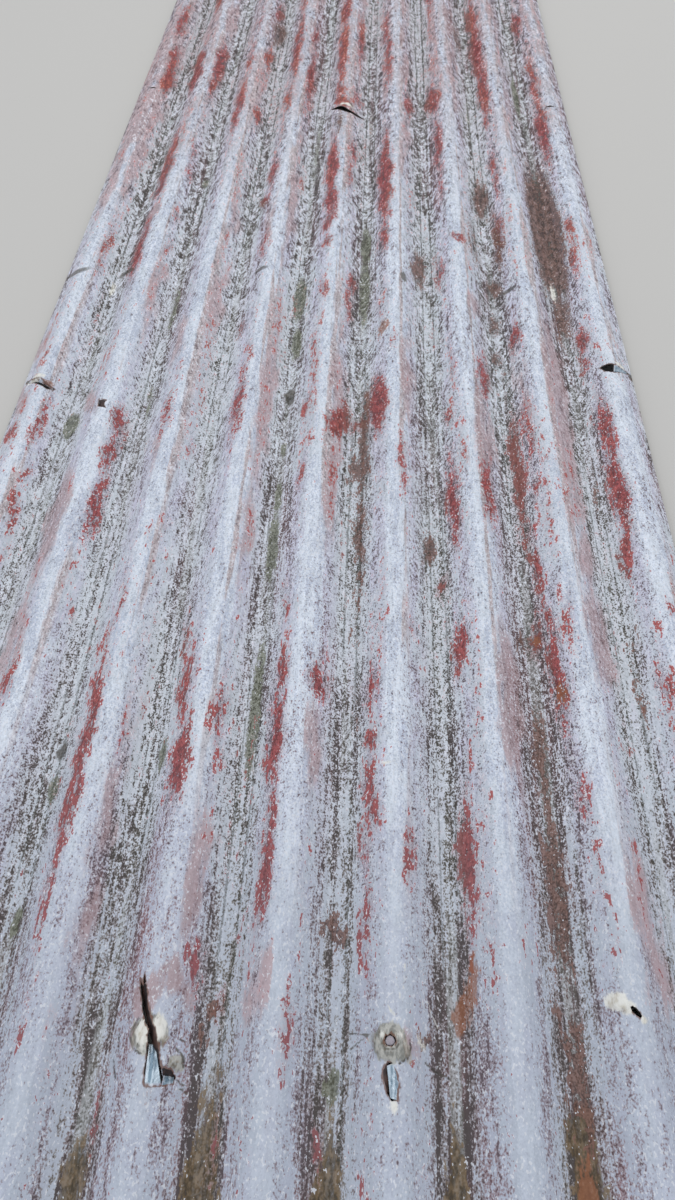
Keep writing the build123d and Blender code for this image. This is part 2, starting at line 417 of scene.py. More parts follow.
def fill_window(across, along, box, step, loops):
    """One window's mesh: points, the grid vertex each is (or -1), triangles and the outlines' points."""
    i0, i1, j0, j1 = box
    columns = len(across)
    ring = [(i, j0) for i in range(i0, i1)] + [(i1, j) for j in range(j0, j1)]
    ring += [(i, j1) for i in range(i1, i0, -1)] + [(i0, j) for j in range(j1, j0, -1)]
    rim = np.array([(across[i], along[j]) for i, j in ring])
    inner = inner_points(rim.min(0), rim.max(0), step, loops)
    points = [Vector(p) for p in np.concatenate([rim, *loops, inner])]
    starts = [0]
    edges = []
    for loop in [rim, *loops]:
        start, count = starts[-1], len(loop)
        edges += [(start + k, start + (k + 1) % count) for k in range(count)]
        starts.append(start + count)
    found, _, faces, origin, _, _ = delaunay_2d_cdt(points, edges, [], 0, WELD_WITHIN, True)
    found = np.array([tuple(p) for p in found])
    ids = []
    for source in origin:
        first = min(source) if source else len(points)
        ids.append(ring[first][1] * columns + ring[first][0] if first < len(ring) else -1)
    middles = np.array([found[list(face)].mean(0) for face in faces])
    cut = np.any([inside(middles, loop) for loop in loops], 0)
    faces = [face for face, gone in zip(faces, cut) if not gone]
    where = {old: new for new, source in enumerate(origin) for old in source}
    loop_ids = [[where[start + k] for k in range(len(loop))] for start, loop in zip(starts[1:], loops)]
    return found, ids, faces, loop_ids


def build_tongue(loop, loop_ids, place, hinge, free, drop, positions):
    """The stretch of an opening's edge that metal hangs from, and rows of points down to its free edge."""
    spot = [np.array(place) + np.array(p) for p in hinge]
    ends = [int(np.argmin(np.hypot(*(loop - p).T))) for p in spot]
    count = len(loop)
    forward = [(ends[0] + k) % count for k in range((ends[1] - ends[0]) % count + 1)]
    backward = [(ends[0] - k) % count for k in range((ends[0] - ends[1]) % count + 1)]
    chain = forward if len(forward) < len(backward) else backward
    base = np.array([positions[loop_ids[k]] for k in chain])
    t = np.linspace(0, 1, len(chain))[:, None]
    far = [np.array(place) + p for p in free]
    edge = far[0] * (1 - t) + far[1] * t
    tips = surface(edge[:, 0], edge[:, 1])
    rows = [base]
    for k in range(1, TONGUE_ROWS + 1):
        s = k / TONGUE_ROWS
        row = base * (1 - s) + tips * s
        row[:, 2] -= drop * s ** TONGUE_CURL * (1 + TONGUE_RIPPLE * np.sin(t[:, 0] * 3 * math.pi))
        rows.append(row)
    return chain, rows


def apart(loop, spot):
    """The distance from a point to the nearest point of an outline."""
    return float(np.min(np.hypot(*(loop - spot).T)))


def grid_range(lines, middle, half):
    """The first and the last of the grid's lines about a window."""
    first = max(0, int(np.searchsorted(lines, middle - half)) - 1)
    last = min(len(lines) - 1, int(np.searchsorted(lines, middle + half)))
    return first, last


def cut_sheet():
    """The flat sheet: its points, its faces and, for each opening, the outline and its vertices."""
    across, along = grid_lines()
    columns = len(across)
    taken = np.zeros((len(along) - 1, columns - 1), bool)
    points = [(x, station) for station in along for x in across]
    faces = []
    openings = []
    for (x, station), (half_x, half_y), step, loops in cut_windows():
        i0, i1 = grid_range(across, x, half_x)
        j0, j1 = grid_range(along, station, half_y)
        taken[j0:j1, i0:i1] = True
        found, ids, triangles, loop_ids = fill_window(across, along, (i0, i1, j0, j1), step, loops)
        for k, point in enumerate(found):
            if ids[k] < 0:
                ids[k] = len(points)
                points.append(tuple(point))
        faces += [tuple(ids[k] for k in triangle) for triangle in triangles]
        openings += [(loop, [ids[k] for k in members]) for loop, members in zip(loops, loop_ids)]
    for j, i in np.argwhere(~taken).tolist():
        k = j * columns + i
        faces.append((k, k + 1, k + 1 + columns, k + columns))
    return np.array(points), faces, openings


def build_sheet():
    """The middle of the metal: positions, faces, flat places, bareness and the outlines of the openings."""
    flat, faces, openings = cut_sheet()
    on_sheet = surface(flat[:, 0], flat[:, 1])
    positions, flat, bare = [on_sheet], [flat], [np.zeros(len(flat))]
    total = len(on_sheet)
    for place, hinge_a, hinge_b, free_a, free_b, drop, bareness in TONGUES:
        spot = np.array(place) + hinge_a
        loop, members = min(openings, key=lambda opening: apart(opening[0], spot))
        ends = (hinge_a, hinge_b), (free_a, free_b)
        chain, rows = build_tongue(loop, members, place, *ends, drop, on_sheet)
        previous = [members[k] for k in chain]
        first, second, below = rows[0][0], rows[0][-1], rows[-1][0]
        upright = np.cross(second - first, below - first)[2] > 0
        for row in rows[1:]:
            current = list(range(total, total + len(row)))
            total += len(row)
            positions.append(row)
            flat.append(np.stack([row[:, 0], row[:, 1] + HALF_LENGTH], -1))
            bare.append(np.where(np.arange(len(row)) == 0, 0.0, bareness))
            for k in range(len(row) - 1):
                corners = (previous[k], previous[k + 1], current[k + 1], current[k])
                faces.append(corners if upright else corners[::-1])
            previous = current
    joined = [np.concatenate(parts) for parts in (positions, flat, bare)]
    return joined[0], faces, joined[1], joined[2], [loop for loop, _ in openings]


# Worn places, where the pale coat is gone: across, station, half width, half length and how fully
RED_PATCHES = [
    (-163, 330, 8, 80, 1.0), (-161, 470, 6, 40, .55), (-159, 722, 6, 21, .9), (-157, 785, 4, 13, .8),
    (-211, 660, 8, 22, .8), (-210, 590, 7, 24, 1.0), (-210, 714, 9, 20, 1.1), (-207, 470, 5, 14, .5),
    (-292, 708, 6, 20, .9), (-290, 640, 7, 14, .5), (-289, 590, 6, 16, .8), (-285, 530, 4, 12, .5),
    (-318, 690, 11, 17, .7), (-222, 545, 4, 15, .6), (-137, 345, 3, 11, .7), (-133, 680, 3, 9, .7),
    (-139, 565, 3, 10, .7), (-238, 385, 8, 17, .7), (-157, 130, 5, 7, .5), (-157, 160, 4, 13, .5),
    (-247, 1040, 9, 50, .9), (-276, 905, 3, 45, .5), (-147, 550, 4, 22, .4),
    (-86, 740, 7, 38, 1.0), (-86, 320, 9, 30, 1.0), (-92, 390, 9, 50, .7), (-101, 440, 5, 22, .6),
    (-85, 830, 8, 16, .5), (-100, 880, 8, 16, .4), (-61, 360, 7, 42, .6), (-58, 318, 4, 9, .8),
    (-15, 410, 6, 13, .9), (-15, 343, 9, 36, .95), (-13, 235, 8, 27, .9), (-13, 280, 6, 22, .6),
    (-17, 470, 4, 13, .8), (-16, 500, 4, 5, .7), (-14, 730, 6, 16, .9), (-10, 775, 5, 28, .8),
    (-12, 840, 6, 38, .6), (-13, 650, 7, 27, .5), (-7, 945, 6, 17, .9), (-4, 990, 3, 13, .5),
    (20, 714, 12, 13, 1.4), (26, 732, 5, 20, 1.0), (42, 722, 14, 7, 1.1), (59, 742, 11, 28, 1.3),
    (14, 397, 13, 9, 1.0), (16, 408, 6, 14, .9), (60, 300, 6, 18, 1.0), (57, 345, 7, 9, .9),
    (59, 400, 6, 27, .7), (57, 250, 4, 22, .8), (59, 200, 5, 22, .7), (84, 650, 7, 38, .55),
    (92, 450, 6, 9, .5), (88, 250, 6, 20, .6), (75, 835, 4, 14, .8), (62, 780, 5, 14, .6),
    (60, 900, 5, 34, .5), (24, 963, 8, 20, .8), (22, 920, 7, 28, .6), (-105, 80, 5, 12, .7),
    (-35, 150, 8, 12, .5), (-30, 70, 5, 12, .6), (10, 130, 6, 22, .5), (28, 80, 5, 10, .6),
    (-55, 175, 7, 17, .5), (130, 240, 7, 38, 1.0), (133, 610, 6, 34, 1.0), (135, 725, 5, 12, .9),
    (138, 805, 4, 44, .5), (120, 500, 9, 11, .9), (133, 435, 8, 20, .9), (134, 320, 4, 32, .5),
    (198, 640, 7, 52, 1.0), (198, 710, 4, 22, .8), (201, 565, 5, 14, .8), (204, 525, 6, 17, .9),
    (197, 447, 7, 13, 1.0), (207, 470, 7, 18, .6), (210, 412, 7, 44, .85), (210, 340, 5, 18, .6),
    (216, 293, 4, 9, .9), (211, 850, 7, 17, .9), (211, 700, 7, 60, .55), (212, 625, 5, 22, .8),
    (225, 462, 7, 24, .6), (226, 660, 5, 7, .7), (165, 620, 10, 46, .6), (171, 790, 9, 30, .8),
    (289, 702, 8, 38, .9), (289, 618, 8, 42, 1.0), (285, 540, 7, 17, .9), (293, 400, 6, 17, .9),
    (285, 852, 8, 19, .9), (283, 812, 6, 16, .7), (293, 1000, 7, 36, .7), (310, 475, 6, 8, .7),
    (130, 990, 6, 34, .7), (155, 1052, 11, 12, .9), (208, 1070, 8, 48, .7),
    (-246, 1190, 9, 22, .8), (-245, 1275, 11, 80, .8), (-248, 1620, 13, 34, .9), (-245, 1545, 12, 42, .7),
    (-211, 1590, 9, 60, .9), (-214, 1500, 6, 44, .7), (-215, 1300, 5, 22, .6), (-212, 1240, 5, 22, .6),
    (-212, 1120, 5, 22, .6), (-211, 1050, 6, 17, .5), (-291, 1045, 6, 55, .6), (-288, 1545, 8, 44, 1.0),
    (-291, 1610, 8, 50, .7), (-298, 1765, 9, 60, .9), (-161, 1420, 9, 64, .8), (-160, 1600, 8, 60, .5),
    (-158, 1750, 6, 55, .6), (-133, 1620, 7, 50, .8), (-133, 1415, 6, 17, .9), (-130, 1820, 9, 36, .8),
    (-87, 1030, 5, 28, .8), (-92, 1240, 7, 38, .7), (-98, 1170, 10, 12, .8), (-88, 1450, 8, 44, .7),
    (-85, 1640, 10, 115, .8), (-58, 1520, 7, 95, .8), (-60, 1700, 6, 22, .9), (-10, 1230, 9, 75, 1.0),
    (-8, 1145, 9, 32, .95), (-8, 1098, 8, 16, .9), (-9, 1050, 6, 9, .9), (-3, 1437, 14, 18, .9),
    (-9, 1490, 7, 34, .8), (-9, 1640, 9, 130, .9), (-10, 1800, 10, 55, .9), (19, 1690, 8, 90, .7),
    (18, 1462, 9, 26, .6), (17, 1290, 6, 38, .8), (14, 1220, 6, 44, .5), (63, 1215, 9, 92, 1.0),
    (67, 1110, 5, 22, .7), (62, 1066, 8, 23, .9), (65, 1600, 8, 85, .8), (60, 1720, 8, 80, .6),
    (95, 1440, 8, 44, .8), (137, 1300, 7, 85, .7), (138, 1180, 5, 32, .6), (133, 1455, 11, 50, .8),
    (213, 1250, 5, 44, .8), (213, 1190, 5, 32, .6), (212, 1380, 5, 17, .9), (211, 1490, 9, 76, .9),
    (208, 1640, 9, 85, 1.0), (207, 1770, 10, 66, .9), (290, 1500, 7, 70, .7), (289, 1350, 9, 80, .8),
    (283, 1740, 7, 40, .9), (292, 1645, 4, 10, .8), (295, 1085, 6, 17, .9),
    (-10, 1960, 9, 90, .9), (62, 1930, 8, 70, .8), (-88, 1890, 8, 80, .7), (-246, 1900, 11, 70, .8),
    (209, 1950, 8, 80, .9), (136, 1860, 7, 60, .7), (-160, 1980, 8, 60, .7), (286, 1930, 7, 60, .8),
    (-292, 1990, 8, 70, .8), (18, 2060, 7, 40, .8), (-60, 2030, 7, 50, .6), (-292, 380, 8, 60, .8),
    (-246, 210, 8, 70, .7), (-318, 240, 9, 50, .6), (288, 180, 8, 60, .9), (312, 300, 8, 40, .6),
]
BROWN_PATCHES = [
    (46, 690, 4.5, 48, 1.2), (45, 560, 4.5, 66, 1.0), (40, 655, 8, 14, .9), (34, 630, 3, 24, .8),
    (48, 378, 4, 28, .7), (109, 548, 7, 14, 1.0), (190, 232, 9, 70, .75), (190, 130, 10, 60, .6),
    (188, 452, 9, 14, .6), (195, 957, 8, 17, 1.0), (191, 898, 6, 14, .9), (187, 830, 7, 15, .8),
    (268, 1092, 16, 122, 1.5), (269, 905, 8, 38, .9), (191, 1172, 9, 36, 1.1), (207, 1050, 8, 70, .55),
    (175, 1060, 9, 64, .45),
    (105, 1005, 10, 36, .8), (-5, 1365, 6, 46, .7), (-100, 1160, 8, 12, .6), (-125, 1730, 12, 60, .6),
    (196, 760, 4, 50, .5), (281, 1075, 5, 50, .8), (180, 1700, 8, 70, .5), (38, 200, 12, 16, .5),
    (-38, 150, 10, 12, .5), (190, 330, 8, 50, .6), (275, 420, 5, 50, .5), (270, 620, 4, 30, .5),
    (96.5, 130.5, 8, 5, .7), (-45, 140, 7, 12, .5),
]
GREEN_PATCHES = [
    (-35, 380, 5, 64, 1.0), (-36, 546, 5, 48, 1.0), (-36, 620, 4.5, 24, .9), (-36, 680, 4.5, 15, .9),
    (-35, 858, 6, 32, 1.0), (-37, 945, 8, 55, .9), (-264, 718, 10, 26, .8), (-186, 200, 7, 16, .7),
    (-184, 300, 8, 20, .6), (-187, 760, 7, 60, .5), (-186, 930, 8, 90, .5), (-103, 330, 7, 26, .6),
    (40, 960, 11, 90, .55), (40, 1060, 10, 70, .6), (38, 105, 8, 14, .7), (-266, 940, 5, 60, .3),
    (-188, 1225, 6, 16, .9), (186, 1400, 7, 190, .4), (262, 1480, 7, 110, .7), (-36, 1300, 8, 200, .4),
    (40, 1400, 8, 160, .3), (112, 1230, 6, 120, .4), (250, 950, 6, 24, .5), (245, 545, 5, 30, .3),
]
OLIVE_ENDS = [
    (-111, 45, 8, 34, .9), (-36, 50, 11, 46, .95), (38, 50, 9, 34, .85), (113, 45, 9, 36, .8),
    (190, 55, 11, 36, 1.0), (-190, 40, 9, 40, .8), (266, 45, 10, 44, .9), (-266, 50, 9, 44, .8),
]
PINK_FILMS = [
    (-248, 432, 12, 48, .9), (-245, 570, 13, 70, .6), (-247, 748, 11, 28, .7), (-325, 850, 12, 34, .5),
    (-320, 742, 13, 24, .5), (-213, 955, 8, 80, .8), (-162, 670, 7, 30, .6), (-165, 850, 9, 56, .5),
    (-134, 930, 9, 76, .8), (-134, 250, 7, 120, .4), (-60, 780, 9, 130, .75), (-58, 640, 7, 36, .8),
    (-61, 570, 5, 50, .7), (15, 625, 7, 75, .95), (16, 775, 10, 56, .6), (13, 870, 6, 24, .7),
    (88, 790, 7, 80, .95), (-65, 240, 9, 56, .5), (12, 330, 9, 44, .4), (-10, 160, 11, 24, .5),
    (-75, 155, 18, 18, .5), (166, 375, 14, 64, .8), (163, 690, 12, 110, .6), (246, 740, 14, 175, .8),
    (246, 445, 13, 52, .9), (248, 535, 11, 30, .7), (210, 750, 7, 66, .6), (166, 915, 11, 26, .6),
    (338, 700, 7, 70, .7), (84.5, 126, 3.5, 6, 1.0), (-85, 127, 3, 6, 1.0), (-294, 1290, 9, 160, .85),
    (-292, 1450, 8, 60, .7), (-320, 1570, 11, 26, .6), (-322, 1390, 11, 34, .6), (-325, 1290, 10, 30, .5),
    (-213, 1780, 9, 80, .7), (-245, 1760, 13, 110, .6),
    (-134, 1130, 6, 70, .7), (-135, 1500, 7, 90, .6), (-60, 1160, 7, 140, .8), (-85, 1100, 7, 66, .5),
    (92, 1340, 9, 70, .5), (92, 1570, 9, 70, .6), (88, 1700, 8, 60, .6), (85, 1250, 9, 66, .4),
    (233, 1440, 6, 44, .6), (233, 1330, 6, 55, .5), (162, 1560, 9, 66, .6), (165, 1450, 7, 44, .5),
    (-165, 1500, 9, 60, .6), (140, 1720, 9, 110, .6), (166, 1760, 10, 90, .6), (235, 1780, 9, 70, .5),
    (-306, 1560, 27, 300, 1.0), (-312, 1200, 14, 90, .8), (-60, 1960, 9, 120, .7), (16, 1900, 8, 90, .6),
    (-245, 1120, 10, 30, .4), (245, 210, 12, 60, .5),
]
# Places where the pale coat is nearly whole
WHOLE_PATCHES = [
    (108, 290, 7, 120, 1.0), (104, 430, 5, 60, .8), (112, 170, 4, 40, .7), (-321, 850, 12, 80, .9),
    (-238, 800, 8, 60, .8), (-245, 690, 8, 40, .7), (0, 600, 8, 110, .6), (77, 620, 8, 150, .6),
    (-70, 640, 8, 120, .6),
]
# Soft dark specks, spots and marks of their own, and painted highlights: across, station, half width, half
# length, strength
DARK_SPOTS = [
    (-184, 334, 5, 8, 1.0), (-36, 765, 6, 14, 1.0), (-102, 664, 3.5, 6, .9), (268, 506, 4, 8, .8),
    (268, 745, 4, 8, .6), (87, 970, 5, 14, .6), (330, 792, 6, 8, .6), (1, 285, 1.6, 62, .35),
]
CREAM_SPOTS_AND_HIGHLIGHTS = [
    (-79.2, 128.5, 5, 9.5, 1.0), (-70.2, 131, 4.6, 8.5, 1.0), (218, 157, 6.5, 6, 1.3), (224, 153, 5, 4, 1.2),
    (233, 146, 3, 3, 1.0), (265, 957, 4.5, 15, 1.0), (72, 323, 4, 3, 1.0), (77.8, 93.2, 2.4, 4.0, 1.2),
    (-270, 968, 5, 18, .8), (-312, 775, 12, 6, 1.0), (316, 800, 9, 4, .8), (4, 1421, 12, 5, .9),
    # The first two spots on the next line are painted highlights on the burr round the cut nail
    (70.3, 131.7, 2.2, 1.8, 1.1), (78.6, 132.4, 2.4, 1.8, 1.0), (93.2, 130.0, 1.3, 2.4, 1.0),
    (96.2, 128.0, 1.3, 2.2, 1.0),
]
OLIVE_SPOTS = [
    (74, 128.5, 11.5, 12, .9), (82, 123, 6, 7, .8), (-76, 128, 13, 12.5, .7), (-59, 113, 6.5, 6, .7),
]
# Scratches and cracked edges: half width and the points they run through, across and along
SCRATCHES = [
    (0.9, [(49.0, 135.4), (62.5, 133.2), (56.0, 130.0), (50.4, 125.9)]),
    (1.0, [(96.8, 119.1), (104.2, 114.7), (113.0, 112.2)]),
    (1.0, [(-59.5, 121.5), (-55.0, 117.5), (-53.8, 111.5)]),
    (0.9, [(-57.0, 104.0), (-52.5, 101.5)]),
    (0.9, [(-54.5, 99.5), (-50.5, 97.5)]),
    (0.9, [(-58.8, 127.4), (-54.8, 125.8)]),
    (0.9, [(-97.8, 129.5), (-96.0, 118.5)]),
    (0.9, [(-99.0, 114.5), (-94.5, 103.0)]),
    (1.0, [(-84.5, 137.0), (-89.4, 128.0), (-84.5, 119.0), (-79.4, 116.0)]),
    # A dark arc round the near side of the burr by the cut nail
    (0.8, [(69.6, 127.2), (71.3, 124.4), (75.0, 123.1), (78.7, 124.4), (80.4, 127.2)]),
    (0.9, [(86.8, 131.0), (87.8, 125.5), (85.3, 119.5), (80.5, 116.3)]),
]
# Painted shade along short creases across the sheet: the middle, half sizes and bow of each
CREASE_SHADES = [
    ((-314.0, 980.5), (21.0, 7.0), 0.03), ((-256.5, 1004.0), (14.0, 6.5), -0.07),
    ((-86.5, 987.0), (11.0, 5.5), 0.0), ((210.0, 947.0), (10.0, 5.0), 0.02),
]
# Strokes of pale dust: half width and the points they run through
PALE_STROKES = [
    (0.6, [(79.0, 168.0), (81.3, 153.0)]), (0.6, [(73.5, 150.0), (76.5, 143.5)]),
    (0.5, [(98.6, 156.0), (105.5, 140.0)]), (0.5, [(84.5, 176.0), (83.2, 160.0)]),
    (0.5, [(77.5, 147.0), (79.0, 141.5)]), (0.4, [(94.0, 160.0), (97.5, 147.0)]),
]
# Rust that has run orange, as listed for the other worn places
ORANGE_SPOTS = [
    (64, 872, 8, 12, .9), (121, 149, 5, 8, 1.4), (126, 161, 4, 9, 1.3), (131, 176, 3.5, 12, 1.0),
    (190, 42, 9, 30, .8), (330, 789, 6, 5, .8), (-298, 767, 7, 6, .8), (197, 448, 6, 9, .5),
    (210, 388, 6, 14, .4), (-66, 122.5, 3.5, 4, .9), (-72, 96, 2, 4, 1.0),
]

# The most that a point may be inside or outside a marked place, and away from a cut edge
MARK_REACH = 14.0
EDGE_REACH = 12.0

# How much longer the red places are than listed, and how much narrower up to the sheet's middle
RED_LENGTHENING = 1.3
RED_NARROWING = 0.85
MIDDLE_STATION = 1000


def worn(x, station, patches, wander=1.0, squareness=2.0, deepest=MARK_REACH, fade=3.0):
    """How far inside the nearest worn place a point lies, in millimetres, and less where it is worn thin."""
    field = np.full(len(x), -MARK_REACH)
    if wander:
        # Waves that make the outlines wander
        across_by = 2.0 * np.sin(station / 9.5 + x / 11 + 1) + 1.5 * np.sin(station / 17 - x / 6)
        along_by = 7.0 * np.sin(x / 5.5 + station / 37) + 5.0 * np.sin(x / 9 - station / 23)
        x, station = x + across_by * wander, station + along_by * wander
    for x0, s0, across, along, strength in patches:
        r = np.abs((x - x0) / across) ** squareness + np.abs((station - s0) / along) ** squareness
        inside_by = (1 - r ** (1 / squareness)) * min(across, along)
        field = np.maximum(field, np.minimum(inside_by, deepest) - (1 - strength) * fade)
    return np.clip(field, -MARK_REACH, MARK_REACH)


def longer(patches):
    """Worn places drawn out along the sheet, and narrower on its near half than on its far half."""
    drawn_out = []
    for x, station, across, along, strength in patches:
        if station < MIDDLE_STATION:
            across *= RED_NARROWING
        drawn_out.append((x, station, across, along * RED_LENGTHENING, strength))
    return drawn_out


def along_lines(x, station, lines):
    """How far inside the nearest drawn line a point lies, in millimetres."""
    field = np.full(len(x), -MARK_REACH)
    for half_width, points in lines:
        for start, end in zip(points, points[1:]):
            field = np.maximum(field, half_width - line_distance(x, station, start, end))
    return field


def loop_distance(points, loops):
    """The distance from each point to the nearest cut edge."""
    found = np.full(len(points), EDGE_REACH)
    for loop in loops:
        low, high = loop.min(0) - EDGE_REACH, loop.max(0) + EDGE_REACH
        close = np.all((points > low) & (points < high), 1)
        if close.any():
            gap = points[close][:, None, :] - loop[None, :, :]
            found[close] = np.minimum(found[close], np.min(np.hypot(gap[..., 0], gap[..., 1]), 1))
    return found


def sheet_attributes(flat, bare, edge_loops):
    """The named values that the sheet's finish reads at each vertex."""
    x, station = flat[:, 0], flat[:, 1]
    return {
        "red": worn(x, station, longer(RED_PATCHES), wander=0.8, squareness=1.5, deepest=5.0, fade=7.0),
        "brown": worn(x, station, BROWN_PATCHES, wander=0.5, squareness=2.4, deepest=5.0, fade=8.0),
        "green": worn(x, station, GREEN_PATCHES, wander=0.15, deepest=5.0, fade=8.0),
        "olive": worn(x, station, OLIVE_ENDS),
        "whole": worn(x, station, WHOLE_PATCHES, wander=0.6),
        "pink": worn(x, station, PINK_FILMS),
        "dark": worn(x, station, DARK_SPOTS, wander=0.0),
        "scratch": along_lines(x, station, SCRATCHES),
        "cream": worn(x, station, CREAM_SPOTS_AND_HIGHLIGHTS, wander=0.0),
        "stroke": along_lines(x, station, PALE_STROKES),
        "moss": worn(x, station, OLIVE_SPOTS, wander=0.0),
        "orange": worn(x, station, ORANGE_SPOTS, wander=0.3),
        "bare": bare,
        "edge": loop_distance(flat, edge_loops),
    }


class Value:
    """A number that varies over a surface. Sums, differences and products of values are values too."""

    def __init__(self, finish, socket):
        self.finish = finish
        self.socket = socket

    def __add__(self, other):
        return self.finish.math("ADD", self, other)

    def __sub__(self, other):
        return self.finish.math("SUBTRACT", self, other)

    def __mul__(self, other):
        return self.finish.math("MULTIPLY", self, other)

    def __abs__(self):
        return self.finish.math("ABSOLUTE", self)


class Finish:
    """A material's nodes, written as calls."""

    def __init__(self, name):
        self.material = bpy.data.materials.new(name)
        self.material.use_nodes = True
        self.tree = self.material.node_tree
        self.shader = self.tree.nodes["Principled BSDF"]
        coordinates = self.tree.nodes.new("ShaderNodeTexCoord")
        self.place = self.vector("SCALE", coordinates.outputs["Object"])
        self.place.node.inputs["Scale"].default_value = 1 / MM
        split = self.tree.nodes.new("ShaderNodeSeparateXYZ")
        self.put(split, 0, self.place)
        self.x, self.y = (Value(self, output) for output in split.outputs[:2])

    def put(self, node, key, value):
        """Links a socket or sets a plain value."""
        value = getattr(value, "socket", value)
        if isinstance(value, bpy.types.NodeSocket):
            self.tree.links.new(value, node.inputs[key])
        else:
            node.inputs[key].default_value = value

    def fill(self, node, values):
        """Puts values into a node's inputs, by name or number."""
        for key, value in values.items():
            self.put(node, key, value)

    def vector(self, operation, *vectors):
        """Vector arithmetic."""
        node = self.tree.nodes.new("ShaderNodeVectorMath")
        node.operation = operation
        self.fill(node, dict(enumerate(vectors)))
        return node.outputs[0]

    def math(self, operation, *values):
        """Arithmetic on values."""
        node = self.tree.nodes.new("ShaderNodeMath")
        node.operation = operation
        self.fill(node, dict(enumerate(values)))
        return Value(self, node.outputs[0])

    def most(self, a, b):
        """The greater of two values."""
        return self.math("MAXIMUM", a, b)

    def least(self, a, b):
        """The smaller of two values."""
        return self.math("MINIMUM", a, b)

    def step(self, value, low, high, start=0.0, end=1.0):
        """An eased step of a value from start, at low, to end, at high."""
        node = self.tree.nodes.new("ShaderNodeMapRange")
        node.interpolation_type = "SMOOTHSTEP"
        self.fill(node, {"Value": value, "From Min": low, "From Max": high, "To Min": start, "To Max": end})
        return Value(self, node.outputs[0])

    def ease(self, share, start, end):
        """A value that goes from start to end as a share goes from 0 to 1."""
        return self.step(share, 0.0, 1.0, start, end)

    def noise(self, size, detail, roughness, shift=0.0, place=None):
        """Noise about zero, from about -1 to 1, whose grains have this size in mm along X, Y and Z."""
        stretched = self.vector("DIVIDE", place or self.place, size)
        moved_place = self.vector("ADD", stretched, (shift, shift * 1.7, shift * 2.3))
        node = self.tree.nodes.new("ShaderNodeTexNoise")
        self.fill(node, {"Vector": moved_place, "Scale": 0.5, "Detail": detail, "Roughness": roughness})
        spread = self.tree.nodes.new("ShaderNodeMapRange")
        spread.clamp = False
        self.fill(spread, {"Value": node.outputs["Fac"], "From Min": 0.5, "From Max": 0.75})
        return Value(self, spread.outputs[0])

    def attribute(self, name):
        """A value stored at the mesh's vertices."""
        node = self.tree.nodes.new("ShaderNodeAttribute")
        node.attribute_name = name
        return Value(self, node.outputs["Fac"])

    def mix(self, share, a, b):
        """Colour a, with this share of colour b."""
        node = self.tree.nodes.new("ShaderNodeMix")
        node.data_type = "RGBA"
        self.fill(node, {0: share, 6: a, 7: b})
        return node.outputs[2]

    def between(self, value, low, high, tones):
        """The first of two tones where a value is at low, the second where it is at high."""
        return self.mix(self.step(value, low, high), *tones)

    def combine(self, *parts):
        """A vector from its three parts."""
        node = self.tree.nodes.new("ShaderNodeCombineXYZ")
        self.fill(node, dict(enumerate(parts)))
        return node.outputs[0]

    def crease(self, station, middle, reach, bow):
        """How fully a point lies on a short crease, given the crease's middle, half sizes and bow."""
        across = self.x - middle[0]
        off = station - middle[1] - across * across * bow
        parts = [across * (1 / reach[0]), off * (1 / reach[1])]
        return self.step(parts[0] * parts[0] + parts[1] * parts[1], 0.25, 1.0, 1.0, 0.0)

    def bump(self, height, distance):
        """Fine relief, this many millimetres high."""
        node = self.tree.nodes.new("ShaderNodeBump")
        self.fill(node, {"Height": height, "Distance": distance * MM, "Strength": 1.0})
        self.put(self.shader, "Normal", node.outputs["Normal"])


def tone(red, green, blue):
    """A colour given as it looks on a screen, from 0 to 255, as the shader wants it."""
    parts = [c / 255 for c in (red, green, blue)]
    return tuple(c / 12.92 if c <= 0.04045 else ((c + 0.055) / 1.055) ** 2.4 for c in parts) + (1.0,)


# The coat's two lower tones, each on the flanks, in the valleys, where it is green and where it is rosy
GRIME_TONES = (tone(106, 93, 100), tone(84, 76, 76), tone(80, 80, 70), tone(136, 92, 94))
MAUVE_TONES = (tone(156, 146, 156), tone(144, 137, 141), tone(138, 137, 130), tone(172, 142, 147))
# The coat where it is whole
PALE_TONES = (tone(196, 196, 214), tone(206, 214, 225))
PALE_IN_VALLEYS = tone(203, 208, 212)
PALE_NEAR = tone(174, 182, 197)
CHALK_TONES = (tone(188, 197, 214), tone(221, 229, 240))
CHIP_TONE = tone(216, 219, 226)
# Films and dust over the coat
FAR_DUST = tone(164, 138, 141)
FILM_TONES = (tone(168, 150, 148), tone(194, 176, 176))
FILM_PIT = tone(128, 104, 106)
PINK_TONES = (tone(170, 144, 146), tone(190, 164, 168))
PINK_FLECK = tone(202, 196, 204)
PINK_PIT = tone(134, 108, 112)
TRACK_TONE = tone(78, 78, 72)
STRIP_TONES = (tone(110, 108, 100), tone(180, 184, 186))
# Places worn through
GREEN_TONES = (tone(82, 85, 68), tone(120, 122, 104))
OLIVE_TONES = (tone(72, 61, 44), tone(122, 102, 75))
BLUSH_TONES = (tone(144, 98, 100), tone(186, 160, 165))
RED_TONES = (tone(106, 42, 44), tone(162, 70, 68))
RUSTY_TONES = (tone(132, 60, 50), tone(182, 98, 80))
RED_IN_VALLEYS = tone(126, 76, 68)
RED_NEAR = tone(142, 88, 94)
BROWN_TONES = (tone(76, 54, 48), tone(126, 94, 84))
ORANGE_TONE = tone(146, 94, 66)
# Marks, torn edges and bent metal
MOSS_TONES = (tone(104, 100, 76), tone(184, 181, 166))
# Cream marks, also used for painted highlights on the burr round the cut nail
CREAM_TONES = (tone(206, 199, 182), tone(241, 240, 233))
STROKE_TONE = tone(226, 225, 218)
